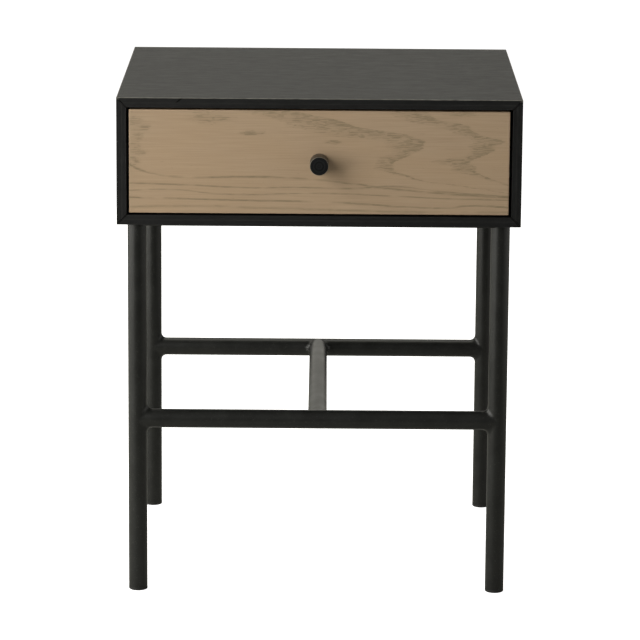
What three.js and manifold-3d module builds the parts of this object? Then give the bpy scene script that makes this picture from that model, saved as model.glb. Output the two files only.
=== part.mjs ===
// Side table with one drawer: a mitred oak case on a welded steel tube base.
// Millimetres. X runs across the front, Y towards the back and Z up from the floor.
// The origin is on the floor, under the middle of the whole table with its knob.

import * as THREE from 'three';
import { mergeVertices } from 'three/addons/utils/BufferGeometryUtils.js';
import Module from 'manifold-3d';

// Overall sizes
const tableWidth = 450;
const caseDepth = 400;
const tableHeight = 568;
const caseHeight = 143;

// Case boards
const boardThickness = 11;
const backThickness = 6;
const backRebateWidth = 5;

// Steel base
const tubeRadius = 10.65;
const tubeWall = 1.5;
const legInsetX = 22;
const legInsetY = 15;
const stretcherHeight = 200;
const topBarInset = 2;
const topBarThickness = 2;
const topBarScrewFromLeg = 60;
const footCapThickness = 3;
const footCapRounding = 1.2;
const footPlugDepth = 14;

// Drawer
const frontThickness = 15;
const frontRecess = 1;
const frontSideGap = 3;
const frontEndGap = 2.5;
const boxBoardThickness = 12;
const boxLift = 14;
const roomAboveBox = 15;
const roomBehindBox = 27.9;
const boxFingerCount = 7;
const boxBottomThickness = 5;
const boxBottomLift = 9;
const boxGrooveDepth = 6;
const frontScrewSpacing = 260;

// Knob
const knobRadius = 10.25;
const knobLength = 25;
const knobChamfer = 0.4;
const knobBoreDepth = 16;

// Ball runners, one on each side of the drawer
const runnerSpace = 12.7;
const roomAtRailLips = 3.2;
const railSheet = 1.2;
const cabinetRailHeight = 35;
const ballRadius = 2;
const ballsPerRow = 4;
const cageLength = 100;
const cageSheet = 0.8;
const railScrewFromEnd = 47;

// Screws: shank radius, head radius and head height
const woodScrew = { shank: 1.75, head: 3.5, headHeight: 1.75 };
const knobThread = { shank: 2, head: 4, headHeight: 2.4 };
const screwTipLength = 2.5;
const screwRimShare = 0.6;
const screwCrownShare = 0.7;
const screwRecessRadius = 1.4;
const screwRecessDepth = 1.1;
const barScrewGrip = 8;
const railScrewGrip = 7;
const frontScrewGrip = 10;
const railScrewTipRoom = 1;
const knobScrewTipRoom = 2;

// Clearances
const seatGap = 0.1;
const jointGap = 0.3;
const ballGap = 0.4;

// How far a cutting shape reaches past the piece that it cuts
const cutOvershoot = 1;

// Smoothness of round pieces
const tubeSides = 32;
const knobSides = 40;
const screwSides = 12;
const ballSides = 8;

// Places that follow from the sizes above
const halfTurn = Math.PI;
const quarterTurn = Math.PI / 2;
const caseBottom = tableHeight - caseHeight;
const innerHalfWidth = tableWidth / 2 - boardThickness;
const innerBottom = caseBottom + boardThickness;
const frontFaceY = -caseDepth / 2 + frontRecess;
const boxFrontY = frontFaceY + frontThickness + seatGap;
const boxHalfWidth = innerHalfWidth - runnerSpace;
const boxLength = caseDepth / 2 - backThickness - roomBehindBox - boxFrontY;
const boxHeight = caseHeight - 2 * boardThickness - boxLift - roomAboveBox;
const boxBottomZ = innerBottom + boxLift;
const boxMiddleY = boxFrontY + boxLength / 2;
const railZ = boxBottomZ + boxHeight / 2;
const railDepth = runnerSpace - roomAtRailLips;
const railScrewSpacing = boxLength - 2 * railScrewFromEnd;
const topBarWidth = 2 * (tubeRadius - topBarInset);
const legX = tableWidth / 2 - legInsetX;
const legY = caseDepth / 2 - legInsetY;
const knobZ = caseBottom + caseHeight / 2;
const knobReach = knobLength - frontRecess + seatGap;
const barScrewLength = topBarThickness + barScrewGrip;

const blackOak = new THREE.MeshStandardMaterial({ color: 0x2b2a28, roughness: 0.6, metalness: 0 });
const lightOak = new THREE.MeshStandardMaterial({ color: 0xa08c70, roughness: 0.65, metalness: 0 });
const boxWood = new THREE.MeshStandardMaterial({ color: 0xb79a6c, roughness: 0.7, metalness: 0 });
const boxPlywood = new THREE.MeshStandardMaterial({ color: 0xb59a70, roughness: 0.75, metalness: 0 });
const blackSteel = new THREE.MeshStandardMaterial({ color: 0x232422, roughness: 0.5, metalness: 0.3 });
const blackKnob = new THREE.MeshStandardMaterial({ color: 0x181818, roughness: 0.4, metalness: 0.4 });
const blackPlastic = new THREE.MeshStandardMaterial({ color: 0x1a1a1a, roughness: 0.6, metalness: 0 });
const blackRail = new THREE.MeshStandardMaterial({ color: 0x1c1c1c, roughness: 0.4, metalness: 0.3 });
const zincSteel = new THREE.MeshStandardMaterial({ color: 0xb4b8ba, roughness: 0.35, metalness: 0.9 });

const wasm = await Module();
wasm.setup();

// Solids from three.js geometry, and back again

function solidOf(geometry) {
  const bare = geometry.clone();
  bare.deleteAttribute('normal');
  bare.deleteAttribute('uv');
  const welded = mergeVertices(bare, 1e-4);
  const corners = welded.index.array;
  const kept = [];
  for (let i = 0; i < corners.length; i += 3) {
    const [a, b, c] = [corners[i], corners[i + 1], corners[i + 2]];
    if (a !== b && b !== c && c !== a) {
      kept.push(a, b, c);
    }
  }
  const vertProperties = new Float32Array(welded.attributes.position.array);
  const triVerts = new Uint32Array(kept);
  return new wasm.Manifold(new wasm.Mesh({ numProp: 3, vertProperties, triVerts }));
}

function geometryOf(solid) {
  const mesh = solid.getMesh();
  const geometry = new THREE.BufferGeometry();
  geometry.setAttribute('position', new THREE.BufferAttribute(mesh.vertProperties, 3));
  geometry.setIndex(new THREE.BufferAttribute(mesh.triVerts, 1));
  geometry.computeVertexNormals();
  return geometry;
}

function addPiece(group, name, material, solid, position = [0, 0, 0]) {
  const mesh = new THREE.Mesh(geometryOf(solid), material);
  mesh.name = name;
  mesh.position.set(...position);
  group.add(mesh);
  return mesh;
}

// Simple shapes

function block([x0, x1], [y0, y1], [z0, z1]) {
  const geometry = new THREE.BoxGeometry(x1 - x0, y1 - y0, z1 - z0);
  geometry.translate((x0 + x1) / 2, (y0 + y1) / 2, (z0 + z1) / 2);
  return solidOf(geometry);
}

// A profile of [radius, height] points turned about the Z axis
function turned(profile, sides) {
  const points = profile.map(([radius, height]) => new THREE.Vector2(radius, height));
  const geometry = new THREE.LatheGeometry(points, sides);
  geometry.rotateX(quarterTurn);
  return solidOf(geometry);
}

// A rod along Z, its middle at the origin
function rod(radius, length, sides = tubeSides) {
  const geometry = new THREE.CylinderGeometry(radius, radius, length, sides);
  geometry.rotateX(quarterTurn);
  return solidOf(geometry);
}

function tube(length) {
  const bore = rod(tubeRadius - tubeWall, length + 2 * cutOvershoot);
  return rod(tubeRadius, length).subtract(bore);
}

// An outline of [x, z] points extruded along Y, its middle at Y = 0
function extrudedAlongY(outline, length) {
  const shape = new THREE.Shape(outline.map(([x, z]) => new THREE.Vector2(x, z)));
  const geometry = new THREE.ExtrudeGeometry(shape, { depth: length, bevelEnabled: false });
  geometry.rotateX(quarterTurn);
  geometry.translate(0, length / 2, 0);
  return solidOf(geometry);
}

// Screws: the axis is Z and the drive faces +Z

function panHeadScrew(screw, length) {
  const profile = [
    [0, -length],
    [screw.shank, -length + screwTipLength],
    [screw.shank, 0],
    [screw.head, 0],
    [screw.head, screw.headHeight * screwRimShare],
    [screw.head * screwCrownShare, screw.headHeight],
    [screwRecessRadius, screw.headHeight],
    [0, screw.headHeight - screwRecessDepth],
  ];
  return turned(profile, screwSides);
}

function flatHeadScrew(screw, length) {
  const profile = [
    [0, -length],
    [screw.shank, -length + screwTipLength],
    [screw.shank, -screw.headHeight],
    [screw.head, 0],
    [screwRecessRadius, 0],
    [0, -screwRecessDepth],
  ];
  return turned(profile, screwSides);
}

// The hole that a screw of either kind needs, with its mouth at Z = 0
function screwHole(screw, depth) {
  const profile = [
    [0, -depth - cutOvershoot],
    [screw.shank + jointGap, -depth - cutOvershoot],
    [screw.shank + jointGap, cutOvershoot],
    [0, cutOvershoot],
  ];
  return turned(profile, screwSides);
}

function countersunkHole(screw, depth) {
  const mouth = screw.head + jointGap;
  const profile = [
    [0, -depth - cutOvershoot],
    [screw.shank + jointGap, -depth - cutOvershoot],
    [screw.shank + jointGap, -screw.headHeight],
    [mouth, 0],
    [mouth, cutOvershoot],
    [0, cutOvershoot],
  ];
  return turned(profile, screwSides);
}

// Turning a solid or a mesh so that its +Z faces one of the main directions
const turnsTo = {
  up: [0, 0, 0],
  down: [halfTurn, 0, 0],
  right: [0, quarterTurn, 0],
  left: [0, -quarterTurn, 0],
  back: [-quarterTurn, 0, 0],
  front: [quarterTurn, 0, 0],
};

function placed(solid, direction, position) {
  const turn = new THREE.Matrix4().makeRotationFromEuler(new THREE.Euler(...turnsTo[direction]));
  turn.setPosition(...position);
  return solid.transform(turn.elements);
}

function addScrew(group, name, solid, direction, position) {
  const mesh = addPiece(group, name, zincSteel, solid, position);
  mesh.rotation.set(...turnsTo[direction]);
  return mesh;
}

const sides = [
  { name: 'left', sign: -1 },
  { name: 'right', sign: 1 },
];
const ends = [
  { name: 'front', sign: -1 },
  { name: 'back', sign: 1 },
];

// Where the screws through the four top bars go up into the case
const frontBarScrewX = legX - tubeRadius - topBarScrewFromLeg;
const sideBarScrewY = legY - tubeRadius - topBarScrewFromLeg;
const barScrewPlaces = [];
for (const end of ends) {
  for (const side of sides) {
    barScrewPlaces.push({
      name: `${end.name}_bar_screw_${side.name}`,
      x: side.sign * frontBarScrewX,
      y: end.sign * legY,
    });
    barScrewPlaces.push({
      name: `${side.name}_bar_screw_${end.name}`,
      x: side.sign * legX,
      y: end.sign * sideBarScrewY,
    });
  }
}

// A case board lies flat with its outer face up at Z = 0. Its ends are mitred, and its
// inner back edge is rebated for the back panel.
function mitredBoard(length) {
  const endTrim = jointGap / Math.SQRT2;
  const outerHalf = length / 2 - endTrim;
  const innerHalf = outerHalf - boardThickness;
  const outline = [
    [-innerHalf, -boardThickness],
    [innerHalf, -boardThickness],
    [outerHalf, 0],
    [-outerHalf, 0],
  ];
  const rebateTop = -boardThickness + backRebateWidth;
  const rebateFront = caseDepth / 2 - backThickness - seatGap;
  const rebateZ = [-boardThickness - cutOvershoot, rebateTop];
  const rebate = block([-length, length], [rebateFront, caseDepth], rebateZ);
  return extrudedAlongY(outline, caseDepth).subtract(rebate);
}

function addCase(group) {
  const caseMiddleZ = caseBottom + caseHeight / 2;
  addPiece(group, 'top_panel', blackOak, mitredBoard(tableWidth), [0, 0, tableHeight]);

  // The bottom board is turned over, which reverses X, so its holes are set out in reverse
  let bottomBoard = mitredBoard(tableWidth);
  for (const place of barScrewPlaces) {
    const hole = screwHole(woodScrew, barScrewGrip);
    bottomBoard = bottomBoard.subtract(placed(hole, 'up', [-place.x, place.y, 0]));
  }
  const bottomPanel = addPiece(group, 'bottom_panel', blackOak, bottomBoard, [0, 0, caseBottom]);
  bottomPanel.rotation.y = halfTurn;

  for (const side of sides) {
    let board = mitredBoard(caseHeight);
    for (const end of ends) {
      const alongBoard = (caseMiddleZ - railZ) * side.sign;
      const holePlace = [alongBoard, boxMiddleY + end.sign * railScrewSpacing / 2, -boardThickness];
      board = board.subtract(placed(countersunkHole(woodScrew, railScrewGrip), 'down', holePlace));
    }
    const panel = addPiece(group, `${side.name}_side_panel`, blackOak, board);
    panel.position.set(side.sign * tableWidth / 2, 0, caseMiddleZ);
    panel.rotation.y = side.sign * quarterTurn;
  }

  const backHalfWidth = innerHalfWidth + backRebateWidth - jointGap;
  const backHalfHeight = caseHeight / 2 - boardThickness + backRebateWidth - jointGap;
  const back = block(
    [-backHalfWidth, backHalfWidth],
    [caseDepth / 2 - backThickness, caseDepth / 2],
    [-backHalfHeight, backHalfHeight],
  );
  addPiece(group, 'back_panel', blackOak, back, [0, 0, caseMiddleZ]);
}

// The base

// The rod that a neighbour is cut to where it meets a tube standing at x, y
function legCutter(x, y) {
  return rod(tubeRadius + jointGap, tableHeight).translate([x, y, tableHeight / 2]);
}

function footCap() {
  const plugRadius = tubeRadius - tubeWall - jointGap;
  const profile = [
    [0, 0],
    [tubeRadius - footCapRounding, 0],
  ];
  const steps = 3;
  for (let step = 1; step <= steps; step += 1) {
    const angle = (step / steps) * quarterTurn;
    const radius = tubeRadius - footCapRounding * (1 - Math.sin(angle));
    const height = footCapRounding * (1 - Math.cos(angle));
    profile.push([radius, height]);
  }
  profile.push([tubeRadius, footCapThickness]);
  profile.push([plugRadius, footCapThickness]);
  profile.push([plugRadius, footCapThickness + footPlugDepth]);
  profile.push([0, footCapThickness + footPlugDepth]);
  return turned(profile, tubeSides);
}

function addBase(group) {
  const legBottom = footCapThickness + seatGap;
  const legTop = caseBottom - seatGap;
  const legMiddle = (legBottom + legTop) / 2;
  for (const end of ends) {
    for (const side of sides) {
      const place = `${end.name}_${side.name}`;
      const [x, y] = [side.sign * legX, end.sign * legY];
      addPiece(group, `${place}_leg`, blackSteel, tube(legTop - legBottom), [x, y, legMiddle]);
      addPiece(group, `${place}_foot_cap`, blackPlastic, footCap(), [x, y, 0]);
    }
    const crossTube = placed(tube(2 * legX), 'right', [0, end.sign * legY, stretcherHeight])
      .subtract(legCutter(legX, end.sign * legY))
      .subtract(legCutter(-legX, end.sign * legY));
    addPiece(group, `${end.name}_stretcher`, blackSteel, crossTube);
  }

  const endCutter = placed(rod(tubeRadius + jointGap, tableWidth), 'right', [0, 0, stretcherHeight]);
  const centreTube = placed(tube(2 * legY), 'back', [0, 0, stretcherHeight])
    .subtract(endCutter.translate([0, legY, 0]))
    .subtract(endCutter.translate([0, -legY, 0]));
  addPiece(group, 'centre_stretcher', blackSteel, centreTube);

  // Flat bars close the base at the top, and the case is screwed down to them
  const barTop = caseBottom - seatGap;
  const barZ = [barTop - topBarThickness, barTop];
  const halfBar = topBarWidth / 2;
  const barLevel = barZ[0];
  const bars = [];
  for (const end of ends) {
    const y = end.sign * legY;
    bars.push({ name: `${end.name}_top_bar`, solid: block([-legX, legX], [y - halfBar, y + halfBar], barZ) });
  }
  const sideBarHalf = legY - halfBar - jointGap;
  const sideBarY = [-sideBarHalf, sideBarHalf];
  for (const side of sides) {
    const x = side.sign * legX;
    bars.push({ name: `${side.name}_top_bar`, solid: block([x - halfBar, x + halfBar], sideBarY, barZ) });
  }
  for (const bar of bars) {
    let solid = bar.solid;
    for (const end of ends) {
      for (const side of sides) {
        solid = solid.subtract(legCutter(side.sign * legX, end.sign * legY));
      }
    }
    for (const place of barScrewPlaces.filter(({ name }) => name.startsWith(bar.name.split('_')[0]))) {
      const hole = countersunkHole(woodScrew, topBarThickness);
      solid = solid.subtract(placed(hole, 'down', [place.x, place.y, barLevel]));
    }
    addPiece(group, bar.name, blackSteel, solid);
  }
  for (const place of barScrewPlaces) {
    const screw = flatHeadScrew(woodScrew, barScrewLength);
    addScrew(group, place.name, screw, 'down', [place.x, place.y, barLevel]);
  }
}

// The drawer

// Cuts the slots of a finger joint out of one end board or side board of the drawer box.
// The fingers are counted from the bottom, and the slots at firstSlot, +2, +4 ... are cut.
function cutFingers(board, firstSlot, [x0, x1], [y0, y1]) {
  const fingerHeight = boxHeight / boxFingerCount;
  let result = board;
  const lastSlot = boxFingerCount - 1;
  for (let slot = firstSlot; slot < boxFingerCount; slot += 2) {
    const slotTop = (slot + 1) * fingerHeight + seatGap / 2;
    const low = slot === 0 ? -cutOvershoot : slot * fingerHeight - seatGap / 2;
    const high = slot === lastSlot ? boxHeight + cutOvershoot : slotTop;
    result = result.subtract(block([x0, x1], [y0, y1], [boxBottomZ + low, boxBottomZ + high]));
  }
  return result;
}

function addDrawerBox(group) {
  const boxBackY = boxFrontY + boxLength;
  const boxZ = [boxBottomZ, boxBottomZ + boxHeight];
  const jointReach = boxBoardThickness + seatGap;
  const innerHalf = boxHalfWidth - boxBoardThickness;
  const panelZ = [boxBottomZ + boxBottomLift, boxBottomZ + boxBottomLift + boxBottomThickness];
  const groove = block(
    [-innerHalf - boxGrooveDepth, innerHalf + boxGrooveDepth],
    [boxFrontY + boxBoardThickness - boxGrooveDepth, boxBackY - boxBoardThickness + boxGrooveDepth],
    [panelZ[0] - seatGap, panelZ[1] + seatGap],
  );

  for (const side of sides) {
    const outer = side.sign * boxHalfWidth;
    const inner = side.sign * innerHalf;
    const xRange = [Math.min(outer, inner), Math.max(outer, inner)];
    const wideX = [xRange[0] - cutOvershoot, xRange[1] + cutOvershoot];
    let board = block(xRange, [boxFrontY, boxBackY], boxZ).subtract(groove);
    board = cutFingers(board, 1, wideX, [boxFrontY - cutOvershoot, boxFrontY + jointReach]);
    board = cutFingers(board, 1, wideX, [boxBackY - jointReach, boxBackY + cutOvershoot]);
    for (const end of ends) {
      const holePlace = [outer, boxMiddleY + end.sign * railScrewSpacing / 2, railZ];
      board = board.subtract(placed(screwHole(woodScrew, railScrewGrip), side.name, holePlace));
    }
    addPiece(group, `drawer_${side.name}_side`, boxWood, board);
  }

  const boxEnds = [
    { name: 'drawer_box_front', y0: boxFrontY },
    { name: 'drawer_back', y0: boxBackY - boxBoardThickness },
  ];
  for (const boxEnd of boxEnds) {
    const yRange = [boxEnd.y0, boxEnd.y0 + boxBoardThickness];
    const wideY = [yRange[0] - cutOvershoot, yRange[1] + cutOvershoot];
    const outerX = boxHalfWidth + cutOvershoot;
    let board = block([-boxHalfWidth, boxHalfWidth], yRange, boxZ).subtract(groove);
    board = cutFingers(board, 0, [-outerX, -boxHalfWidth + jointReach], wideY);
    board = cutFingers(board, 0, [boxHalfWidth - jointReach, outerX], wideY);
    if (boxEnd.name === 'drawer_box_front') {
      board = board.subtract(placed(screwHole(knobThread, boxBoardThickness), 'back', [0, yRange[1], knobZ]));
      for (const side of sides) {
        const holePlace = [side.sign * frontScrewSpacing / 2, yRange[1], railZ];
        board = board.subtract(placed(screwHole(woodScrew, boxBoardThickness), 'back', holePlace));
      }
    }
    addPiece(group, boxEnd.name, boxWood, board);
  }

  const panelHalfWidth = innerHalf + boxGrooveDepth - jointGap;
  const panelY = [
    boxFrontY + boxBoardThickness - boxGrooveDepth + jointGap,
    boxBackY - boxBoardThickness + boxGrooveDepth - jointGap,
  ];
  addPiece(group, 'drawer_bottom', boxPlywood, block([-panelHalfWidth, panelHalfWidth], panelY, panelZ));
}

function addDrawerFront(group) {
  const halfWidth = innerHalfWidth - frontSideGap;
  const frontZ = [innerBottom + frontEndGap, tableHeight - boardThickness - frontEndGap];
  const frontBackY = frontFaceY + frontThickness;
  let front = block([-halfWidth, halfWidth], [frontFaceY, frontBackY], frontZ);
  front = front.subtract(placed(screwHole(knobThread, frontThickness), 'back', [0, frontBackY, knobZ]));
  for (const side of sides) {
    const holePlace = [side.sign * frontScrewSpacing / 2, frontBackY, railZ];
    front = front.subtract(placed(screwHole(woodScrew, frontScrewGrip), 'back', holePlace));
  }
  addPiece(group, 'drawer_front', lightOak, front);

  const boreRadius = knobThread.shank + jointGap;
  const knobProfile = [
    [0, knobBoreDepth],
    [boreRadius, knobBoreDepth],
    [boreRadius, 0],
    [knobRadius - knobChamfer / 2, 0],
    [knobRadius, knobChamfer / 2],
    [knobRadius, knobLength - knobChamfer],
    [knobRadius - knobChamfer, knobLength],
    [0, knobLength],
  ];
  const knob = addPiece(group, 'drawer_knob', blackKnob, turned(knobProfile, knobSides));
  knob.position.set(0, frontFaceY - seatGap, knobZ);
  knob.rotation.set(...turnsTo.front);

  const screwSeatY = boxFrontY + boxBoardThickness + seatGap;
  const knobScrewLength = screwSeatY - frontFaceY + knobBoreDepth - knobScrewTipRoom;
  addScrew(group, 'knob_screw', panHeadScrew(knobThread, knobScrewLength), 'back', [0, screwSeatY, knobZ]);
  for (const side of sides) {
    const screw = panHeadScrew(woodScrew, boxBoardThickness + frontScrewGrip);
    const seat = [side.sign * frontScrewSpacing / 2, screwSeatY, railZ];
    addScrew(group, `front_screw_${side.name}`, screw, 'back', seat);
  }
}

// A runner group has the case wall's inner face at X = 0, the drawer towards -X and the
// rails' middle at the origin. The left runner is the right one turned half round.

// A channel of bent sheet: its web faces the wall at xWeb, and its lips reach to xLips
function channel(xWeb, xLips, sheet, height, length) {
  const inward = Math.sign(xLips - xWeb);
  const xInside = xWeb + inward * sheet;
  const half = height / 2;
  const outline = [
    [xWeb, -half],
    [xLips, -half],
    [xLips, -half + sheet],
    [xInside, -half + sheet],
    [xInside, half - sheet],
    [xLips, half - sheet],
    [xLips, half],
    [xWeb, half],
  ];
  if (inward < 0) {
    outline.reverse();
  }
  return extrudedAlongY(outline, length);
}

function addRunner(group, side) {
  const runner = new THREE.Group();
  runner.position.set(side.sign * innerHalfWidth, boxMiddleY, railZ);
  runner.rotation.z = side.sign > 0 ? 0 : halfTurn;
  group.add(runner);

  const ballSpace = 2 * (ballRadius + ballGap);
  const ballRowZ = cabinetRailHeight / 2 - railSheet - ballSpace / 2;
  const drawerRailHeight = cabinetRailHeight - 2 * (railSheet + ballSpace);

  const cabinetWebX = -seatGap;
  const cabinetInsideX = cabinetWebX - railSheet;
  let cabinetRail = channel(cabinetWebX, -railDepth, railSheet, cabinetRailHeight, boxLength);
  const drawerWebX = -runnerSpace + seatGap;
  const drawerLipX = drawerWebX + railDepth;
  const drawerInsideX = drawerWebX + railSheet;
  let drawerRail = channel(drawerWebX, drawerLipX, railSheet, drawerRailHeight, boxLength);

  for (const end of ends) {
    const y = end.sign * railScrewSpacing / 2;
    const wallHole = countersunkHole(woodScrew, railScrewGrip);
    cabinetRail = cabinetRail.subtract(placed(wallHole, 'left', [cabinetInsideX, y, 0]));
    const boxHole = screwHole(woodScrew, railSheet);
    drawerRail = drawerRail.subtract(placed(boxHole, 'right', [drawerInsideX, y, 0]));

    // In the turned left group the front end of the rail is at +Y
    const endName = ends.find(({ sign }) => sign === end.sign * side.sign).name;
    const screwLength = railSheet + railScrewGrip - railScrewTipRoom;
    const wallScrew = flatHeadScrew(woodScrew, screwLength);
    addScrew(runner, `cabinet_rail_screw_${side.name}_${endName}`, wallScrew, 'left', [cabinetInsideX, y, 0]);
    const boxScrew = panHeadScrew(woodScrew, screwLength);
    const boxSeat = [drawerInsideX + seatGap, y, 0];
    addScrew(runner, `drawer_rail_screw_${side.name}_${endName}`, boxScrew, 'right', boxSeat);
  }
  addPiece(runner, `${side.name}_cabinet_rail`, blackRail, cabinetRail);
  addPiece(runner, `${side.name}_drawer_rail`, blackRail, drawerRail);

  // The cage holds two rows of balls between the lips of the two rails
  const cageBackX = (cabinetInsideX + drawerLipX + cageSheet) / 2;
  const ballX = (-railDepth + drawerLipX) / 2;
  const cageLipX = ballX - ballRadius / 2;
  const cageHeight = 2 * ballRowZ + cageSheet;
  let cage = channel(cageBackX, cageLipX, cageSheet, cageHeight, cageLength);
  const ballPitch = cageLength / ballsPerRow;
  for (const row of [-1, 1]) {
    for (let ball = 0; ball < ballsPerRow; ball += 1) {
      const y = (ball + 0.5) * ballPitch - cageLength / 2;
      const geometry = new THREE.SphereGeometry(ballRadius, ballSides, ballSides - 2);
      geometry.translate(ballX, y, row * ballRowZ);
      cage = cage.add(solidOf(geometry));
    }
  }
  addPiece(runner, `${side.name}_ball_cage`, blackRail, cage);
}

// The whole table, set back so that the case and the knob together are centred
const sideTable = new THREE.Group();
const table = new THREE.Group();
table.position.set(0, knobReach / 2, 0);
sideTable.add(table);

addCase(table);
addBase(table);
addDrawerFront(table);
addDrawerBox(table);
for (const side of sides) {
  addRunner(table, side);
}

export default sideTable;
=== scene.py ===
import math

import bmesh
import bpy
from mathutils import Matrix, Vector


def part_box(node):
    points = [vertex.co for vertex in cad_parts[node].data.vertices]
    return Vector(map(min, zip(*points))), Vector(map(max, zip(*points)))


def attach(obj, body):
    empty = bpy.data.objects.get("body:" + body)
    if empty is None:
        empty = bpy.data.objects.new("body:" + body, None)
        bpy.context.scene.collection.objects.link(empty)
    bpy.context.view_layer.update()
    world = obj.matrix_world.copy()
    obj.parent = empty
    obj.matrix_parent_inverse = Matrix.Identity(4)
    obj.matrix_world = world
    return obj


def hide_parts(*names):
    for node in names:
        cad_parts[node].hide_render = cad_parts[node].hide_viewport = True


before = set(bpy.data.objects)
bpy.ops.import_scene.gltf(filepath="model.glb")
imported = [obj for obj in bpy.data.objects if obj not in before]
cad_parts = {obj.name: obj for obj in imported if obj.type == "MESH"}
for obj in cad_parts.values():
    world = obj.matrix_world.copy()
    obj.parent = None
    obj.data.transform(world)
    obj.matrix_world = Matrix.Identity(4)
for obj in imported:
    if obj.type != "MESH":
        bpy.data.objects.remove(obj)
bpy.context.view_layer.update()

MM = 0.001
X = Vector((1, 0, 0))
Y = Vector((0, 1, 0))
Z = Vector((0, 0, 1))

# Sizes of the case, in metres. The knock's slant is its run across for each step down.
MITRE_GAP = 0.45 * MM
ARRIS = 0.8 * MM
FRONT_ARRIS = 0.6 * MM
WEAR_STRIP = 0.9 * MM
REBATE_WIDTH = 5.0 * MM
REBATE_CLEARANCE = 0.1 * MM
KNOCK_FROM_LEFT = 73 * MM
KNOCK_SLANT = 1.2

# The base. The weld's swell is a share of the bead's leg.
LEG_PLACES = ("front_left", "front_right", "back_left", "back_right")
TUBE_WALL = 1.5 * MM
BAR_ARRIS = 0.2 * MM
CAP_HEIGHT = 3.0 * MM
CAP_ROUNDING = 1.2 * MM
PLUG_CLEARANCE = 0.3 * MM
WELD_LEG = 6.0 * MM
WELD_SWELL = 0.03675
WELD_ROOT = 0.9 * MM
WELD_SINK = 0.2 * MM

# The drawer. The rings inset in the knob's face are a share of its radius.
BOX_ARRIS = 0.5 * MM
BOTTOM_ARRIS = 0.3 * MM
KNOB_CHAMFER = 0.4 * MM
KNOB_FACE_RING = 0.35

# Smoothness of round pieces
TUBE_SIDES = 64
KNOB_SIDES = 96
WELD_STEPS = 72
WELD_RING = 12

# Limits for picking and joining
SHARP_TURN = math.radians(30)
SMOOTH_TURN = math.radians(35)
BEVEL_TURN = math.radians(50)
FLAT_TURN = math.radians(1)
TOUCHING = 0.01 * MM

# The studio, in metres and radians, with the lens and sensor in millimetres. The floor lies just
# under the feet, so that the two don't coincide. The camera's place is measured from the case's
# front and top.
FLOOR_LEVEL = -0.2 * MM
AIR_LIGHT = 0.13
AIR_SEEN = 1.2
CAMERA_SENSOR = 36
CAMERA_LENS = 205.23
CAMERA_FROM_CASE = (0.00486, 3.98933, 0.62042)
CAMERA_TURNS = (-0.00068, 0.21481, 0.00739)

# The drawer front's figure, in millimetres across and up from its middle. A flame has a tip, then
# by height how far its outline lies beside the tip, and how wide its band is.
INNER_FLAME = (
    119,
    [(-58, 190), (-40, 140), (-32, 88), (-28, 62), (-23, 27), (-20, 0), (-16, -14),
     (-12, -28), (-6, -36), (0, -34), (6, -24), (12, -9), (18, -4), (24, 0), (28, -9),
     (32, -24), (36, -46), (41, -78), (47, -93), (54, -128), (58, -150)],
    [(-58, 9), (-20, 9), (-12, 14), (-6, 24), (6, 25), (20, 44), (26, 56),
     (31, 96), (36, 90), (44, 76), (58, 70)])
OUTER_FLAME = (
    204,
    [(-58, 150), (-34, 60), (-25, 14), (-21, 0), (-15, -18), (-11, -27), (-4, -32),
     (2, -34), (7, -26), (12, -14), (18, -9), (25, 0), (28, -9), (32, -25), (37, -33),
     (43, -45), (48, -70), (58, -86)],
    [(-58, 9), (-20, 10), (-14, 14), (-9, 28), (-4, 30), (2, 44), (8, 26), (14, 26),
     (25, 34), (31, 28), (37, 32), (44, 42), (58, 40)])
# Small crowds of pores away from the flames: across, up, reach across, reach up, strength
PORE_CROWDS = (
    (-203, 45, 11, 9, 0.9), (-196, 38, 11, 7, 0.95), (-201, 29, 10, 8, 0.85),
    (-204, 19, 9, 9, 0.8), (-200, 10, 12, 7, 0.8), (-205, 0, 9, 8, 0.85),
    (-121, 50, 32, 9, 0.9), (-75, 33, 17, 3.5, 1.5), (15, 23, 13, 3, 1.2),
    (158, 55, 24, 3.5, 1.1))
# Long dark lines below the flames: points, half width, strength, and where their fading is read
LONG_LINES = (
    ([(-211, -3), (-196, -10), (-176, -15), (-150, -18), (-90, -17.5), (-24, -18),
      (36, -23.5), (72, -28), (211, -38)], 1.9, 0.9, 3.1),
    ([(-211, -24.5), (-150, -26.5), (-88, -29), (-30, -28.5), (36, -29), (84, -26),
      (131, -31), (180, -35), (211, -37)], 1.6, 0.8, 5.7),
    ([(-211, -33), (-150, -32.5), (-115, -36), (8, -35), (84, -37), (140, -39),
      (211, -41)], 1.4, 0.7, 9.2),
    ([(-211, -41), (-120, -42.5), (-77, -43.5), (30, -45.5), (100, -49), (145, -50),
      (160, -48), (211, -49.5)], 1.7, 0.9, 1.4),
    ([(-211, -52), (-130, -50), (-60, -52), (40, -54), (211, -55)], 2.4, 0.5, 7.7))


# ---------------------------------------------------------------- modelling helpers

def deselect_all():
    if bpy.context.object and bpy.context.object.mode != "OBJECT":
        bpy.ops.object.mode_set(mode="OBJECT")
    bpy.ops.object.select_all(action="DESELECT")


def make_active(piece):
    deselect_all()
    piece.select_set(True)
    bpy.context.view_layer.objects.active = piece


def settle(name):
    """Names the primitive that was just added and puts its place into its mesh."""
    piece = bpy.context.active_object
    piece.name = name
    piece.data.name = name
    bpy.ops.object.transform_apply(location=True, rotation=True, scale=True)
    return piece


def block(name, low, high):
    """A box between two corners, ready to be shaped."""
    deselect_all()
    size = Vector(high) - Vector(low)
    middle = (Vector(high) + Vector(low)) / 2
    bpy.ops.mesh.primitive_cube_add(size=1, location=middle, scale=size)
    return settle(name)


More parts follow.
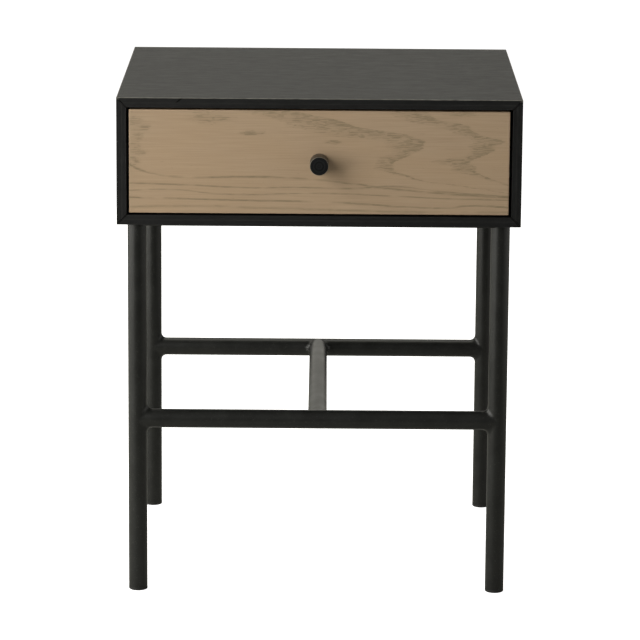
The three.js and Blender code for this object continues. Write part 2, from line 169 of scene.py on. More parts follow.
def rod(name, start, end, radius, sides=TUBE_SIDES):
    """A solid round bar between two points, ready to be shaped."""
    deselect_all()
    run = Vector(end) - Vector(start)
    turn = run.to_track_quat("Z", "Y").to_euler()
    middle = (Vector(start) + Vector(end)) / 2
    bpy.ops.mesh.primitive_cylinder_add(
        vertices=sides, radius=radius, depth=run.length, location=middle, rotation=turn)
    return settle(name)


def edit(piece):
    make_active(piece)
    bpy.ops.object.mode_set(mode="EDIT")
    bpy.ops.mesh.select_all(action="DESELECT")


def end_edit():
    bpy.ops.object.mode_set(mode="OBJECT")


def pick_faces(piece, wanted):
    """Selects the faces whose middle and normal pass the test."""
    bpy.ops.mesh.select_mode(type="FACE")
    bpy.ops.mesh.select_all(action="DESELECT")
    shape = bmesh.from_edit_mesh(piece.data)
    shape.normal_update()
    for face in shape.faces:
        if wanted(face.calc_center_median(), face.normal):
            face.select_set(True)
    bmesh.update_edit_mesh(piece.data)


def pick_edges(piece, wanted):
    """Selects the sharp edges whose two ends pass the test."""
    bpy.ops.mesh.select_mode(type="EDGE")
    bpy.ops.mesh.select_all(action="DESELECT")
    shape = bmesh.from_edit_mesh(piece.data)
    shape.normal_update()
    for edge in shape.edges:
        sharp = len(edge.link_faces) == 2 and edge.calc_face_angle() > SHARP_TURN
        if sharp and wanted(edge.verts[0].co, edge.verts[1].co):
            edge.select_set(True)
    bmesh.update_edit_mesh(piece.data)


def soften_edges(piece, wanted, width, segments=3):
    """Rounds the sharp edges that pass the test."""
    edit(piece)
    pick_edges(piece, wanted)
    bpy.ops.mesh.bevel(offset=width, segments=segments, affect="EDGES")
    end_edit()


def cut(piece, point, normal, clear):
    """Cuts the whole piece on a plane. With clear, what lies beyond it is taken off."""
    edit(piece)
    bpy.ops.mesh.select_all(action="SELECT")
    bpy.ops.mesh.bisect(
        plane_co=point, plane_no=normal, use_fill=clear, clear_outer=clear)
    end_edit()


def extrude_faces(piece, wanted, move):
    """Draws out the faces that pass the test."""
    edit(piece)
    pick_faces(piece, wanted)
    bpy.ops.mesh.extrude_region_move(TRANSFORM_OT_translate={"value": move})
    end_edit()


def mark_wear(piece, wanted, width):
    """Insets the flat faces and marks how near each point is to an arris."""
    edit(piece)
    pick_faces(piece, wanted)
    bpy.ops.mesh.inset(thickness=width, use_individual=True, use_even_offset=True)
    shape = bmesh.from_edit_mesh(piece.data)
    edge_mark = shape.verts.layers.float.new("edge")
    for vertex in shape.verts:
        vertex[edge_mark] = 1.0
    for face in shape.faces:
        if face.select:
            for vertex in face.verts:
                vertex[edge_mark] = 0.0
    bmesh.update_edit_mesh(piece.data)
    end_edit()


def apply_modifier(piece, kind, **settings):
    make_active(piece)
    modifier = piece.modifiers.new(kind.title(), kind)
    for setting, value in settings.items():
        setattr(modifier, setting, value)
    bpy.ops.object.modifier_apply(modifier=modifier.name)


def copied(piece, name, change):
    """A copy with a mesh of its own, put in its place by a turn and a move."""
    make_active(piece)
    bpy.ops.object.duplicate(linked=False)
    bpy.context.active_object.matrix_world = change
    return settle(name)


def about(point, turn, new_place=None):
    """The change that turns a shape about a point and carries that point to a new place."""
    goal = point if new_place is None else new_place
    return Matrix.Translation(goal) @ turn.to_4x4() @ Matrix.Translation(-point)


def finish_piece(piece, material, body, slot, *nodes):
    """Gives a piece its shading, material and body, and hides the nodes it stands for. Its slot is
    not used.
    """
    make_active(piece)
    bpy.ops.object.shade_smooth_by_angle(angle=SMOOTH_TURN)
    piece.data.materials.clear()
    piece.data.materials.append(material)
    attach(piece, body)
    if nodes:
        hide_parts(*nodes)


def along_main_axis(normal):
    return max(abs(normal.x), abs(normal.y), abs(normal.z)) > 0.999


# ---------------------------------------------------------------- material helpers

class Finish:
    """A material's nodes, with short ways to add and join them."""

    def __init__(self, name):
        self.material = bpy.data.materials.new(name)
        self.material.use_nodes = True
        self.tree = self.material.node_tree
        self.shader = self.tree.nodes["Principled BSDF"]
        self.place = self.node("ShaderNodeTexCoord").outputs["Object"]

    def node(self, kind, **settings):
        made = self.tree.nodes.new(kind)
        for setting, value in settings.items():
            setattr(made, setting, value)
        return made

    def feed(self, socket, value):
        if isinstance(value, bpy.types.NodeSocket):
            self.tree.links.new(value, socket)
        else:
            socket.default_value = value

    def calc(self, operation, first, second=0.0, clamp=False):
        made = self.node("ShaderNodeMath", operation=operation, use_clamp=clamp)
        self.feed(made.inputs[0], first)
        self.feed(made.inputs[1], second)
        return made.outputs[0]

    def mixed(self, *parts):
        """The sum of several values, each times its share."""
        total = None
        for value, share in parts:
            part = self.calc("MULTIPLY", value, share)
            total = part if total is None else self.calc("ADD", total, part)
        return total

    def spread(self, value, low, high, to_low=0.0, to_high=1.0, smooth=False):
        """Stretches the range from low to high over another range, and stops at its ends."""
        made = self.node("ShaderNodeMapRange", clamp=True)
        made.interpolation_type = "SMOOTHSTEP" if smooth else "LINEAR"
        for socket, number in zip(made.inputs, (value, low, high, to_low, to_high)):
            self.feed(socket, number)
        return made.outputs[0]

    def noise(self, vector, detail=2.0, rough=0.5, warp=0.0):
        made = self.node("ShaderNodeTexNoise")
        self.feed(made.inputs["Vector"], vector)
        made.inputs["Scale"].default_value = 1.0
        made.inputs["Detail"].default_value = detail
        made.inputs["Roughness"].default_value = rough
        made.inputs["Distortion"].default_value = warp
        return made.outputs["Fac"]

    def pattern(self, scale, move=(0, 0, 0), **settings):
        """Noise over the piece, with its own scale along each axis."""
        made = self.node("ShaderNodeMapping")
        self.feed(made.inputs["Vector"], self.place)
        made.inputs["Scale"].default_value = scale
        made.inputs["Location"].default_value = move
        return self.noise(made.outputs[0], **settings)

    def blend(self, amount, first, second):
        """Mixes two colours. Sockets 6 and 7 are the node's colours, and output 2 is the mix."""
        made = self.node("ShaderNodeMix", data_type="RGBA")
        self.feed(made.inputs[0], amount)
        self.feed(made.inputs[6], first)
        self.feed(made.inputs[7], second)
        return made.outputs[2]

    def worn(self, body, amount, tint, pattern=1.0):
        """Lets a tint show through along the marked edges."""
        edge = self.node("ShaderNodeAttribute", attribute_name="edge").outputs["Fac"]
        wear = self.calc("MULTIPLY", edge, pattern)
        return self.blend(self.calc("MULTIPLY", wear, amount), body, tint)

    def ramp(self, value, *stops):
        made = self.node("ShaderNodeValToRGB")
        self.feed(made.inputs[0], value)
        elements = made.color_ramp.elements
        while len(elements) < len(stops):
            elements.new(0.5)
        for element, (position, tint) in zip(elements, stops):
            element.position = position
            element.color = tint
        return made.outputs[0]

    def curve(self, value, points):
        """Passes a value from 0 to 1 through a curve drawn by its points."""
        made = self.node("ShaderNodeFloatCurve")
        self.feed(made.inputs["Value"], value)
        line = made.mapping.curves[0]
        line.points[0].location = points[0]
        line.points[1].location = points[-1]
        for point in points[1:-1]:
            line.points.new(*point)
        made.mapping.update()
        return made.outputs[0]

    def split(self, vector):
        made = self.node("ShaderNodeSeparateXYZ")
        self.feed(made.inputs[0], vector)
        return made.outputs[0], made.outputs[1], made.outputs[2]

    def join(self, x, y, z):
        made = self.node("ShaderNodeCombineXYZ")
        for socket, value in zip(made.inputs, (x, y, z)):
            self.feed(socket, value)
        return made.outputs[0]

    def surface(self, body, roughness, metallic=0.0, specular=0.5):
        self.feed(self.shader.inputs["Base Color"], body)
        self.feed(self.shader.inputs["Roughness"], roughness)
        self.feed(self.shader.inputs["Metallic"], metallic)
        self.shader.inputs["Specular IOR Level"].default_value = specular

    def bump(self, height, depth, strength):
        made = self.node("ShaderNodeBump")
        made.inputs["Distance"].default_value = depth
        made.inputs["Strength"].default_value = strength
        self.feed(made.inputs["Height"], height)
        self.feed(self.shader.inputs["Normal"], made.outputs[0])


def colour(red, green, blue):
    return (red, green, blue, 1.0)


def even(scale):
    return (scale, scale, scale)


def grain(axis, along, across):
    """The scale that stretches a pattern along one axis of the board."""
    return tuple(along if name == axis else across for name in "XYZ")


def black_oak(axis):
    """Oak stained black, its open pores and its fine streaks running along one axis."""
    oak = Finish("black oak, grain along " + axis)
    x, y, z = oak.split(oak.place)
    fine = oak.pattern(grain(axis, 26, 1100), detail=3, rough=0.65)
    broad = oak.pattern(grain(axis, 42, 115), detail=3, rough=0.6, warp=0.3)
    fibre = oak.pattern(grain(axis, 6, 190), detail=3, rough=0.6, warp=0.2)
    pore = oak.spread(oak.pattern(grain(axis, 70, 2100), detail=1), 0.60, 0.72)
    stain = oak.ramp(
        oak.mixed((fine, 0.35), (broad, 0.20), (fibre, 0.45)),
        (0.34, colour(0.0034, 0.0036, 0.0038)),
        (0.50, colour(0.0062, 0.0064, 0.0067)),
        (0.66, colour(0.0220, 0.0223, 0.0226)))

    # Faces that point to the front are painted darker and plainer than the broad faces: painted
    # shade, set by the way each face points
    facing = oak.split(oak.node("ShaderNodeNewGeometry").outputs["Normal"])[1]
    front_face_shade = oak.spread(facing, -0.95, -0.80, 0.88, 0)
    stain = oak.blend(front_face_shade, stain, colour(0.0036, 0.0038, 0.0041))
    stain = oak.blend(oak.calc("MULTIPLY", pore, 0.5), stain, colour(0.0034, 0.0035, 0.0037))
    # Painted shade: a near-black line in each front mitre joint and in a knock near the top's left
    # end
    joint_and_dent_shade = front_shade_lines(oak, x, y, z)
    stain = oak.blend(joint_and_dent_shade, stain, colour(0.0008, 0.0008, 0.0008))

    # The arrises of the top are painted light, and hardly the others: partly wear, partly a
    # painted highlight along the top's arris
    table_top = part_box("top_panel")[1].z
    top_arris_wear_and_highlight = oak.spread(z, table_top - 3 * MM, table_top - 1 * MM, 0.03, 0.85)
    rubbed = oak.spread(oak.pattern(even(90), detail=4, rough=0.65), 0.34, 0.62, 0.45, 1.0)
    stain = oak.worn(stain, top_arris_wear_and_highlight, colour(0.42, 0.40, 0.355), rubbed)

    dullness = oak.mixed((fine, 0.20), (broad, 0.50), (fibre, 0.30), (pore, 0.2))
    # The painted shade in the mitres and the knock is a near-black metal, so it has no shine
    # either
    oak.surface(stain, oak.spread(dullness, 0.36, 0.75, 0.44, 0.58), metallic=joint_and_dent_shade, specular=0.42)
    oak.bump(oak.calc("SUBTRACT", oak.calc("MULTIPLY", fine, 0.35), pore), 0.07 * MM, 0.7)
    return oak.material


def front_shade_lines(oak, x, y, z):
    """Painted shade: the dark line in each front mitre joint, and in a short slanting knock near
    the top's left end.
    """
    case_low, case_high = case_corners()
    below = oak.calc("SUBTRACT", case_high.z, z)
    from_left = oak.calc("SUBTRACT", x, case_low.x)
    from_side = oak.calc("MINIMUM", from_left, oak.calc("SUBTRACT", case_high.x, x))
    from_end = oak.calc("MINIMUM", below, oak.calc("SUBTRACT", z, case_low.z))
    off_mitre = oak.calc("ABSOLUTE", oak.calc("SUBTRACT", from_side, from_end))
    mitre = oak.spread(off_mitre, 0.6 * MM, 1.2 * MM, 0.8, 0)

    along = oak.calc("SUBTRACT", from_left, KNOCK_FROM_LEFT)
    slant = oak.calc("MULTIPLY", below, KNOCK_SLANT)
    off_knock = oak.calc("ABSOLUTE", oak.calc("ADD", along, slant))
    thin = oak.spread(off_knock, 0.5 * MM, 1.4 * MM, 0.9, 0)
    knock = oak.calc("MULTIPLY", thin, oak.spread(below, 4.6 * MM, 5.8 * MM, 1, 0))

    on_front = oak.spread(y, case_low.y + 0.5 * MM, case_low.y + 1.5 * MM, 1, 0)
    return oak.calc("MULTIPLY", oak.calc("MAXIMUM", mitre, knock), on_front)


class FrontFigure:
    """The drawer front's figure, drawn in millimetres across and up from the board's middle."""

    def __init__(self, oak):
        low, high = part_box("drawer_front")
        middle = (low + high) / 2
        x, self.y, z = oak.split(oak.place)
        ripples = oak.pattern((60, 60, 160), detail=2)
        waves = oak.pattern((9, 9, 26), detail=2)
        across = oak.calc("DIVIDE", oak.calc("SUBTRACT", x, middle.x), MM)
        up = oak.calc("DIVIDE", oak.calc("SUBTRACT", z, middle.z), MM)
        self.oak = oak
        self.half_width = (high.x - low.x) / 2 / MM
        self.half_height = (high.z - low.z) / 2 / MM
        self.across = oak.calc("ADD", across, oak.spread(ripples, 0, 1, -9, 9))
        self.up = oak.calc("ADD", up, oak.spread(waves, 0, 1, -1.6, 1.6))

    def follow(self, place, reach, points, low, high):
        """A value that follows a curve through points, as a place goes from -reach to reach."""
        spots = [((at + reach) / (2 * reach), (value - low) / (high - low))
                 for at, value in points]
        share = self.oak.spread(place, -reach, reach)
        return self.oak.spread(self.oak.curve(share, spots), 0, 1, low, high)

    def flame(self, tip, outline, widths):
        """A band inside a cathedral's outline, strongest at the outline."""
        oak = self.oak
        side = self.follow(self.up, self.half_height, outline, -200, 200)
        width = self.follow(self.up, self.half_height, widths, 0, 120)
        depth = oak.calc("SUBTRACT", oak.calc("ADD", side, tip), self.across)
        inner = oak.calc("SUBTRACT", 1.0, oak.calc("DIVIDE", depth, width), clamp=True)
        inner = oak.calc("POWER", inner, 0.3)
        return oak.calc("MULTIPLY", inner, oak.spread(depth, -1.5, 2.5))

    def pore_crowd(self, across, up, reach_across, reach_up, strength):
        """A soft oval."""
        oak = self.oak
        off_across = oak.calc("DIVIDE", oak.calc("SUBTRACT", self.across, across), reach_across)
        off_up = oak.calc("DIVIDE", oak.calc("SUBTRACT", self.up, up), reach_up)
        off = oak.calc("ADD", oak.calc("POWER", off_across, 2), oak.calc("POWER", off_up, 2))
        return oak.calc("MULTIPLY", oak.calc("SUBTRACT", 1.0, off, clamp=True), strength)

    def long_line(self, points, width, strength, fading_place):
        """A thin line that runs the length of the board and fades here and there."""
        oak = self.oak
        level = self.follow(
            self.across, self.half_width, points, -self.half_height, self.half_height)
        off = oak.calc("ABSOLUTE", oak.calc("SUBTRACT", self.up, level))
        body = oak.spread(off, 0, width, 1, 0, smooth=True)
        fading = oak.spread(oak.pattern(even(26), (fading_place, 0, 0), detail=2), 0.33, 0.50)
        return oak.calc("MULTIPLY", oak.calc("MULTIPLY", body, fading), strength)

    def streaks(self, length, fineness, **settings):
        """Noise drawn out along the board."""
        oak = self.oak
        across = oak.calc("MULTIPLY", self.across, 1 / length)
        up = oak.calc("MULTIPLY", self.up, fineness)
        return oak.noise(oak.join(across, up, self.y), **settings)


def front_oak():
    """Clear oiled oak with a flat-sawn figure: nested flames and long lines under them."""
    oak = Finish("light oak")
    figure = FrontFigure(oak)
    flames = oak.calc("MAXIMUM", figure.flame(*INNER_FLAME), figure.flame(*OUTER_FLAME))
    for crowd in PORE_CROWDS:
        flames = oak.calc("MAXIMUM", flames, figure.pore_crowd(*crowd), clamp=True)
    lines = figure.long_line(*LONG_LINES[0])
    for line in LONG_LINES[1:]:
        lines = oak.calc("MAXIMUM", lines, figure.long_line(*line))

    # Pores are short dashes, which crowd together in the flames
    dashes = figure.streaks(10, 1.15, detail=2, rough=0.5)
    lines = oak.calc("MULTIPLY", lines, oak.spread(dashes, 0.38, 0.56, 0.45, 1.0))
    threshold = oak.spread(flames, 0, 1, 0.72, 0.475)
    pores = oak.spread(oak.calc("SUBTRACT", dashes, threshold), 0, 0.05)

    hairs = figure.streaks(55, 2.4, detail=3, rough=0.6)
    wood = oak.ramp(
        hairs,
        (0.30, colour(0.418, 0.297, 0.192)),
        (0.50, colour(0.487, 0.351, 0.232)),
        (0.72, colour(0.550, 0.405, 0.271)))
    clouds = oak.spread(oak.pattern((8, 8, 20), detail=3), 0.35, 0.68, 0, 0.35)
    wood = oak.blend(clouds, wood, colour(0.500, 0.342, 0.200))
    dark = oak.calc("MAXIMUM", oak.mixed((pores, 0.50), (flames, 0.16)), lines, clamp=True)
    wood = oak.blend(dark, wood, colour(0.235, 0.185, 0.108))
    rubbed = oak.spread(oak.pattern(even(120), detail=3), 0.3, 0.7, 0.3, 1)
    wood = oak.worn(wood, 0.45, colour(0.46, 0.32, 0.21), rubbed)
    oak.surface(wood, oak.spread(hairs, 0.25, 0.75, 0.52, 0.66))
    oak.bump(oak.calc("SUBTRACT", oak.calc("MULTIPLY", hairs, 0.4), pores), 0.05 * MM, 0.5)
    return oak.material


def box_wood(axis, name="drawer wood"):
    """Pale lacquered wood for the drawer box."""
    wood = Finish(name + ", grain along " + axis)
    fine = wood.pattern(grain(axis, 9, 900), detail=4, rough=0.6)
    broad = wood.pattern(grain(axis, 2.2, 38), detail=3, warp=0.8)
    body = wood.ramp(
        wood.mixed((fine, 0.45), (broad, 0.55)),
        (0.32, colour(0.400, 0.270, 0.145)),
        (0.50, colour(0.500, 0.365, 0.215)),
        (0.70, colour(0.575, 0.440, 0.280)))
    body = wood.worn(body, 0.35, colour(0.62, 0.50, 0.34))
    wood.surface(body, wood.spread(fine, 0.2, 0.8, 0.42, 0.58))
    wood.bump(fine, 0.04 * MM, 0.5)
    return wood.material


def satin_steel():
    """Black powder coat: satin, with a very fine orange peel."""
    coat = Finish("black steel")
    peel = coat.pattern(even(1500), detail=1.5)
    cloud = coat.pattern(even(45), detail=3)
    dust = coat.spread(coat.pattern(even(700), detail=0), 0.70, 0.78, 0, 0.5)
    body = coat.ramp(
        cloud,
        (0.35, colour(0.0120, 0.0124, 0.0115)),
        (0.65, colour(0.0160, 0.0165, 0.0153)))
    body = coat.blend(dust, body, colour(0.045, 0.045, 0.042))
    body = coat.worn(body, 0.5, colour(0.06, 0.058, 0.052), coat.spread(cloud, 0.45, 0.65))
    coat.surface(body, coat.spread(cloud, 0.3, 0.7, 0.29, 0.36), specular=0.41)
    coat.bump(peel, 0.012 * MM, 0.5)
    return coat.material


def knob_black():
    """Black turned metal: fine rings round the knob's own axis."""
    coat = Finish("black knob")
    low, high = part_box("drawer_knob")
    centred = coat.node("ShaderNodeVectorMath", operation="SUBTRACT")
    coat.feed(centred.inputs[0], coat.place)
    centred.inputs[1].default_value = (low + high) / 2
    x, y, z = coat.split(centred.outputs[0])
    squares = coat.calc("ADD", coat.calc("POWER", x, 2), coat.calc("POWER", z, 2))
    outward = coat.calc("MULTIPLY", coat.calc("SQRT", squares), 640)
    rings = coat.noise(coat.join(outward, coat.calc("MULTIPLY", y, 1800), 0), detail=0.5)
    body = coat.ramp(
        coat.pattern(even(130), detail=3),
        (0.35, colour(0.0022, 0.0023, 0.0026)),
        (0.65, colour(0.0034, 0.0036, 0.0039)))
    ridges = coat.spread(rings, 0.47, 0.60, 0, 0.9)
    body = coat.blend(ridges, body, colour(0.0145, 0.0155, 0.0170))
    # The marked front chamfer is painted light: a painted highlight round the knob's rim
    body = coat.worn(body, 0.8, colour(0.26, 0.24, 0.20))
    coat.surface(body, coat.spread(rings, 0.3, 0.7, 0.30, 0.40), specular=0.32)
    coat.bump(rings, 0.03 * MM, 0.5)
    return coat.material


def cap_plastic():
    """Black moulded plastic, with a fine grain."""
    plastic = Finish("black plastic")
    speck = plastic.pattern(even(900), detail=2)
    body = plastic.ramp(
        plastic.pattern(even(120), detail=2),
        (0.35, colour(0.0110, 0.0110, 0.0105)),
        (0.65, colour(0.0175, 0.0175, 0.0168)))
    body = plastic.worn(body, 0.3, colour(0.05, 0.05, 0.048))
    plastic.surface(body, plastic.spread(speck, 0.3, 0.7, 0.48, 0.62))
    plastic.bump(speck, 0.02 * MM, 0.5)
    return plastic.material


def rail_black():
    """Black electrocoated sheet, drawn out along the rail."""
    coat = Finish("black rail coat")
    flow = coat.pattern((900, 40, 900), detail=2)
    body = coat.ramp(
        coat.pattern((80, 30, 80), detail=3),
        (0.35, colour(0.0085, 0.0085, 0.0085)),
        (0.65, colour(0.0140, 0.0140, 0.0138)))
    body = coat.worn(body, 0.5, colour(0.08, 0.08, 0.08), coat.spread(flow, 0.4, 0.6))
    coat.surface(body, coat.spread(flow, 0.3, 0.7, 0.32, 0.46))
    coat.bump(flow, 0.01 * MM, 0.4)
    return coat.material


def zinc_plate():
    """Bright zinc plate, for the screws."""
    zinc = Finish("zinc steel")
    flow = zinc.pattern((900, 30, 900), detail=2)
    cloud = zinc.pattern(even(60), detail=4, rough=0.6)
    body = zinc.ramp(
        cloud,
        (0.35, colour(0.42, 0.44, 0.46)),
        (0.65, colour(0.60, 0.62, 0.63)))
    body = zinc.worn(body, 0.4, colour(0.75, 0.76, 0.76), zinc.spread(cloud, 0.4, 0.6))
    zinc.surface(body, zinc.spread(flow, 0.3, 0.7, 0.28, 0.42), metallic=1.0)
    zinc.bump(flow, 0.01 * MM, 0.5)
    return zinc.material


# ---------------------------------------------------------------- the case

def mitred_board(name, along, outward):
    """A case board: a block with a rebate along its back and a mitre at each end."""
    low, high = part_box(name)
    rebate_depth = high.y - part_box("back_panel")[0].y + REBATE_CLEARANCE
    spare = MITRE_GAP + 1 * MM
    board_low = low - along * spare
    board_high = high + along * spare
    board_high.y = high.y - rebate_depth
    piece = block(name + "_board", board_low, board_high)

    thickness = abs((high - low).dot(outward))
    outer = (low + high) / 2 + outward * thickness / 2
    step = outer - outward * (thickness - REBATE_WIDTH)
    cut(piece, step, outward, clear=False)
    extrude_faces(
        piece,
        lambda place, normal: normal.y > 0.9 and (place - step).dot(outward) > 0,
        Y * rebate_depth)

    mitres = []
    for end, tip in zip((-1, 1), case_corners()):
        reach = (tip - outer).dot(along) - end * MITRE_GAP / 2
        mitres.append((outer + along * reach, (along * end - outward).normalized()))
    for corner, normal in mitres:
        cut(piece, corner, normal, clear=True)

    def on_mitre(place):
        return any(abs((place - corner).dot(normal)) < TOUCHING for corner, normal in mitres)

    soften_edges(piece, lambda a, b: not (on_mitre(a) and on_mitre(b)), ARRIS)
    mark_wear(piece, lambda place, normal: along_main_axis(normal), WEAR_STRIP)
    return piece


def case_corners():
    """The lowest and highest corners of the case, without the knob."""
    low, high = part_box("left_side_panel")[0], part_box("right_side_panel")[1]
    bottom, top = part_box("bottom_panel")[0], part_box("top_panel")[1]
    return Vector((low.x, low.y, bottom.z)), Vector((high.x, high.y, top.z))


def plain_board(name, material, body, slot, arris=ARRIS):
    """A board with square ends and softened arrises."""
    piece = block(name + "_board", *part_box(name))
    soften_edges(piece, lambda a, b: True, arris)
    mark_wear(piece, lambda place, normal: along_main_axis(normal), WEAR_STRIP)
    finish_piece(piece, material, body, slot, name)


def make_case(oak_x, oak_z):
    """The top and the left side are modelled; a half turn makes the bottom and the right side."""
    low, high = case_corners()
    half_turn = about((low + high) / 2, Matrix.Rotation(math.pi, 3, "Y"))
    top = mitred_board("top_panel", X, Z)
    left = mitred_board("left_side_panel", Z, -X)
    bottom = copied(top, "bottom_panel_board", half_turn)
    right = copied(left, "right_side_panel_board", half_turn)
    for piece, oak, node in (
            (top, oak_x, "top_panel"), (bottom, oak_x, "bottom_panel"),
            (left, oak_z, "left_side_panel"), (right, oak_z, "right_side_panel")):
        finish_piece(piece, oak, "table", "black_oak", node)
    plain_board("back_panel", oak_x, "table", "black_oak")


# ---------------------------------------------------------------- the base

def leg_foot(place):
    """The middle of a leg, on the floor."""
    low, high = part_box(place + "_leg")
    return Vector(((low.x + high.x) / 2, (low.y + high.y) / 2, 0))


def make_leg(place, radius):
    """A length of tube, open at both ends."""
    foot = leg_foot(place)
    low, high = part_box(place + "_leg")
    leg = rod(place + "_leg_tube", foot + Z * low.z, foot + Z * high.z, radius)
    open_tube(leg, Z)
    return leg


def make_cap(place, radius):
    """A foot cap: a rounded disc, with a plug that goes up into the leg."""
    foot = leg_foot(place)
    plug_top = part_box(place + "_foot_cap")[1].z
    cap = rod(place + "_foot_cap_piece", foot, foot + Z * CAP_HEIGHT, radius)
    soften_edges(cap, lambda a, b: max(a.z, b.z) < TOUCHING, CAP_ROUNDING, segments=5)
    edit(cap)
    pick_faces(cap, lambda centre, normal: normal.z > 0.9)
    bpy.ops.mesh.inset(thickness=TUBE_WALL + PLUG_CLEARANCE)
    bpy.ops.mesh.extrude_region_move(
        TRANSFORM_OT_translate={"value": (0, 0, plug_top - CAP_HEIGHT)})
    end_edit()
    return cap


def open_tube(piece, axis):
    """Takes the end faces off a rod and gives it the wall of a tube."""
    edit(piece)
    pick_faces(piece, lambda place, normal: abs(normal.dot(axis)) > 0.9)
    bpy.ops.mesh.delete(type="FACE")
    end_edit()
    apply_modifier(piece, "SOLIDIFY", thickness=TUBE_WALL, offset=-1)


def make_stretcher(name, axis, ends):
    """A tube whose two ends are coped to sit in the tubes that it is welded to."""
    low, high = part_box(name)
    middle = (low + high) / 2
    radius = (high.z - low.z) / 2
    tube = rod(name + "_tube", ends[0], ends[1], radius)
    open_tube(tube, axis)
    bury = radius - TUBE_WALL / 2
    edit(tube)
    shape = bmesh.from_edit_mesh(tube.data)
    for vertex in shape.verts:
        off = vertex.co - middle
        away = min(bury, abs(off.y if axis is X else off.z))
        cope = math.sqrt(bury ** 2 - away ** 2)
        vertex.co -= axis * math.copysign(cope, off.dot(axis))
    bmesh.update_edit_mesh(tube.data)
    end_edit()
    return tube


def make_weld(name, joint, radius):
    """A weld bead in the corner between a tube along X and the upright tube that it meets."""
    deselect_all()
    bpy.ops.mesh.primitive_torus_add(
        major_segments=WELD_STEPS, minor_segments=WELD_RING, major_radius=radius, minor_radius=MM)
    bead = settle(name)
    arc = WELD_RING - 3
    edit(bead)
    shape = bmesh.from_edit_mesh(bead.data)
    shape.verts.ensure_lookup_table()
    for step in range(WELD_STEPS):
        angle = 2 * math.pi * (step + 0.5) / WELD_STEPS
        rise = math.sin(angle)
        outer = Z * rise - Y * math.cos(angle)
        meet = joint + (X * abs(rise) + outer) * radius
        up = Z * math.copysign(1, rise)
        ripple = 1 + 0.07 * math.sin(17 * angle) + 0.05 * math.sin(29 * angle + 1)
        leg = WELD_LEG * (abs(rise) ** 0.8 + 0.04) * ripple
        start, end = meet + X * leg, meet + up * leg
        for corner in range(WELD_RING):
            vertex = shape.verts[step * WELD_RING + corner]
            if corner <= arc:
                t = corner / arc
                swell = WELD_SWELL * leg * math.sin(math.pi * t)
                vertex.co = start * (1 - t) ** 2 + meet * 2 * t * (1 - t) + end * t ** 2
                vertex.co += (X + up).normalized() * swell
            else:
                share = (corner - arc) / (WELD_RING - arc)
                vertex.co = meet - (up * (1 - share) + X * share) * WELD_ROOT - outer * WELD_SINK
    bmesh.update_edit_mesh(bead.data)
    bpy.ops.mesh.select_all(action="SELECT")
    bpy.ops.mesh.normals_make_consistent(inside=False)
    # The bead is pinched thin at its two sides, and the operator then turns it inside out
    if shape_volume(bead) < 0:
        bpy.ops.mesh.flip_normals()
    end_edit()
    return bead


def shape_volume(piece):
    """The volume of a piece in edit mode. It is below zero if its faces point inwards."""
    return bmesh.from_edit_mesh(piece.data).calc_volume(signed=True)


def make_legs(radius, steel, plastic):
    """One leg and its foot cap are modelled, and the others are their copies."""
    first, *others = LEG_PLACES
    legs, caps = [make_leg(first, radius)], [make_cap(first, radius)]
    for place in others:
        move = Matrix.Translation(leg_foot(place) - leg_foot(first))
        legs.append(copied(legs[0], place + "_leg_tube", move))
        caps.append(copied(caps[0], place + "_foot_cap_piece", move))
    for place, leg, cap in zip(LEG_PLACES, legs, caps):
        finish_piece(leg, steel, "table", "black_steel", place + "_leg")
        finish_piece(cap, plastic, "table", "black_plastic", place + "_foot_cap")


def make_stretchers(radius, steel):
    """One cross stretcher and one weld bead are modelled, and the others are their copies."""
    low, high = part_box("front_stretcher")
    height = Z * (low.z + high.z) / 2
    front_left, front_right, back_left, back_right = (
        leg_foot(place) + height for place in LEG_PLACES)
    front = (front_left + front_right) / 2
    back = (back_left + back_right) / 2
    front_tube = make_stretcher("front_stretcher", X, (front_left, front_right))
    back_tube = copied(front_tube, "back_stretcher_tube", Matrix.Translation(back - front))
    centre_tube = make_stretcher("centre_stretcher", Y, (front, back))
    for place, tube in (("front", front_tube), ("back", back_tube), ("centre", centre_tube)):
        finish_piece(tube, steel, "table", "black_steel", place + "_stretcher")

    # Each copied bead's joint, and the ways that its branch tube and its main tube run
    welds = (
        ("front_right_weld", front_right, -X, Z),
        ("back_left_weld", back_left, X, Z),
        ("back_right_weld", back_right, -X, Z),
        ("centre_front_weld", front, Y, X),
        ("centre_back_weld", back, -Y, X))
    beads = [make_weld("front_left_weld", front_left, radius)]
    for name, joint, branch, main in welds:
        turn = Matrix((branch, main.cross(branch), main)).transposed()
        beads.append(copied(beads[0], name, about(front_left, turn, joint)))
    for bead in beads:
        finish_piece(bead, steel, "table", "black_steel")


def make_base(steel, plastic):
    low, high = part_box("front_left_leg")
    radius = (high.x - low.x) / 2
    make_legs(radius, steel, plastic)
    make_stretchers(radius, steel)
    for side in ("front", "back", "left", "right"):
        softened_copy(side + "_top_bar", BAR_ARRIS, steel, "table", "black_steel")


# ---------------------------------------------------------------- the drawer

def softened_copy(node, width, material, body, slot):
    """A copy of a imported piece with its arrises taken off."""
    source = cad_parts[node]
    piece = bpy.data.objects.new(node + "_piece", source.data.copy())
    bpy.context.scene.collection.objects.link(piece)
    edit(piece)
    bpy.ops.mesh.select_all(action="SELECT")
    bpy.ops.mesh.remove_doubles(threshold=TOUCHING)
    bpy.ops.mesh.dissolve_limited(angle_limit=FLAT_TURN)
    end_edit()
    apply_modifier(
        piece, "BEVEL", width=width, segments=2, limit_method="ANGLE",
        angle_limit=BEVEL_TURN, use_clamp_overlap=True)

    # The small slanted faces along the arrises are marked as worn
    mark = piece.data.attributes.new("edge", "FLOAT", "POINT")
    for face in piece.data.polygons:
        if not along_main_axis(face.normal):
            for vertex in face.vertices:
                mark.data[vertex].value = 1.0
    finish_piece(piece, material, body, slot, node)


